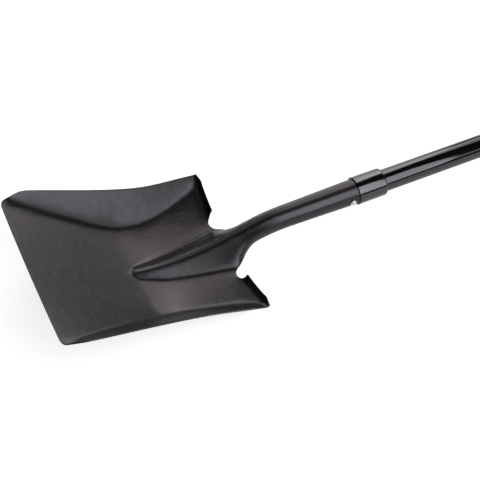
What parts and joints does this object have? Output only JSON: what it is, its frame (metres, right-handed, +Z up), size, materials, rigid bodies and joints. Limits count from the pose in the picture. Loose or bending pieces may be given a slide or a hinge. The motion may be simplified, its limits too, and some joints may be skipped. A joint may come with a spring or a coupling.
{
  "type": "square shovel",
  "caption": "Long handled square shovel: a dished steel blade with folded sides, turned steps and a rolled socket, riveted to a straight fibreglass handle.",
  "frame": {"origin": "middle of the length and width, on the ground that the shovel lies on with its hollow face up", "axes": "+X along the handle from the cutting edge to the end cap, +Y across the blade, +Z up out of the blade's hollow face"},
  "size_m": [1.4734, 0.2536, 0.1099],
  "materials": {
    "powder_coated_steel": "satin black powder coat with a fine grain",
    "moulded_nylon": "glossy moulded black nylon",
    "fibreglass": "glossy black gel coat on a fibreglass tube",
    "wood_core": "plain turned dowel",
    "plated_rivet": "zinc plated steel",
    "cap_rubber": "matt black moulded rubber"
  },
  "bodies": {
    "root": {"head": "powder_coated_steel", "collar": "moulded_nylon", "handle_shaft": "fibreglass", "core_plug": "wood_core", "socket_rivet": "plated_rivet", "end_cap": "cap_rubber"}
  },
  "joints": []
}
